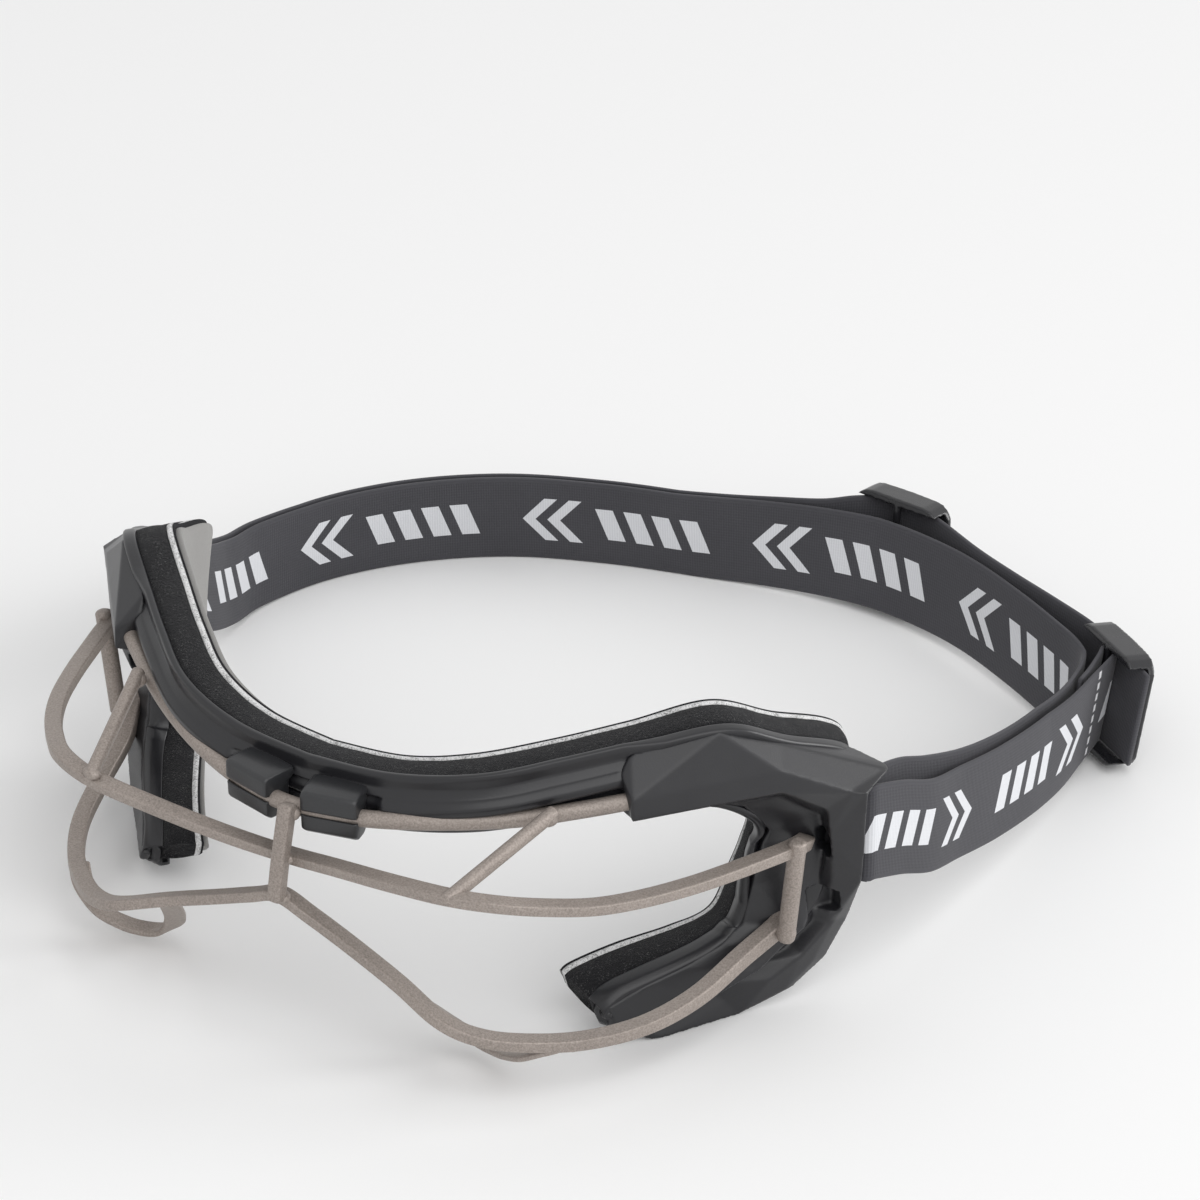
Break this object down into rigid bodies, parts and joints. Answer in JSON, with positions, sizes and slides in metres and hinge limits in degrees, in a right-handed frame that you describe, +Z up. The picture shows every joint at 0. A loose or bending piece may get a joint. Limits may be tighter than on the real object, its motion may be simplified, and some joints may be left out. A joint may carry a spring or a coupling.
{
  "type": "lacrosse goggles",
  "caption": "Wire-cage sports eye guard: bent bars on a moulded brow and cheek frame with a foam and felt pad, faceted temple shells and a wide adjustable elastic strap.",
  "frame": {"origin": "on the floor under the middle of the whole object's box", "axes": "+X to the wearer's left, -Y to the front of the cage, +Y back along the strap, +Z up"},
  "size_m": [0.1768, 0.1922, 0.0597],
  "materials": {
    "cage": "satin powder coat",
    "frame": "semi-gloss",
    "shell": "matt",
    "foam": "matt foam",
    "felt": "felt",
    "backing": "matt",
    "face_fabric": "brushed knit",
    "strap": "ribbed elastic with a pale print",
    "slider": "glossy"
  },
  "bodies": {
    "goggles": {"frame": "frame", "temple_shell_left": "shell", "temple_shell_right": "shell", "pad_foam": "foam", "pad_felt": "felt", "pad_backing": "backing", "pad_face": "face_fabric", "cage_top_bar": "cage", "cage_middle_bar": "cage", "cage_lower_bar": "cage", "nose_strut": "cage", "brace_left": "cage", "brace_right": "cage", "end_strut_left": "cage", "end_strut_right": "cage", "cheek_hoop_left": "cage", "cheek_hoop_right": "cage", "brow_clip_left": "frame", "brow_clip_right": "frame", "strap_inner": "strap", "strap_outer_left": "strap", "strap_outer_right": "strap"},
    "slider_left": {"strap_slider_left": "slider"},
    "slider_right": {"strap_slider_right": "slider"}
  },
  "joints": [
    {"name": "slider_left_slide", "type": "slide", "parent": "goggles", "child": "slider_left", "axis": [0.829, -0.5592, 0], "range_m": [-0.004, 0.004], "deforming": ["strap_outer_left"]},
    {"name": "slider_right_slide", "type": "slide", "parent": "goggles", "child": "slider_right", "axis": [0.9945, -0.1045, 0], "range_m": [-0.004, 0.004], "deforming": ["strap_outer_right"]}
  ]
}
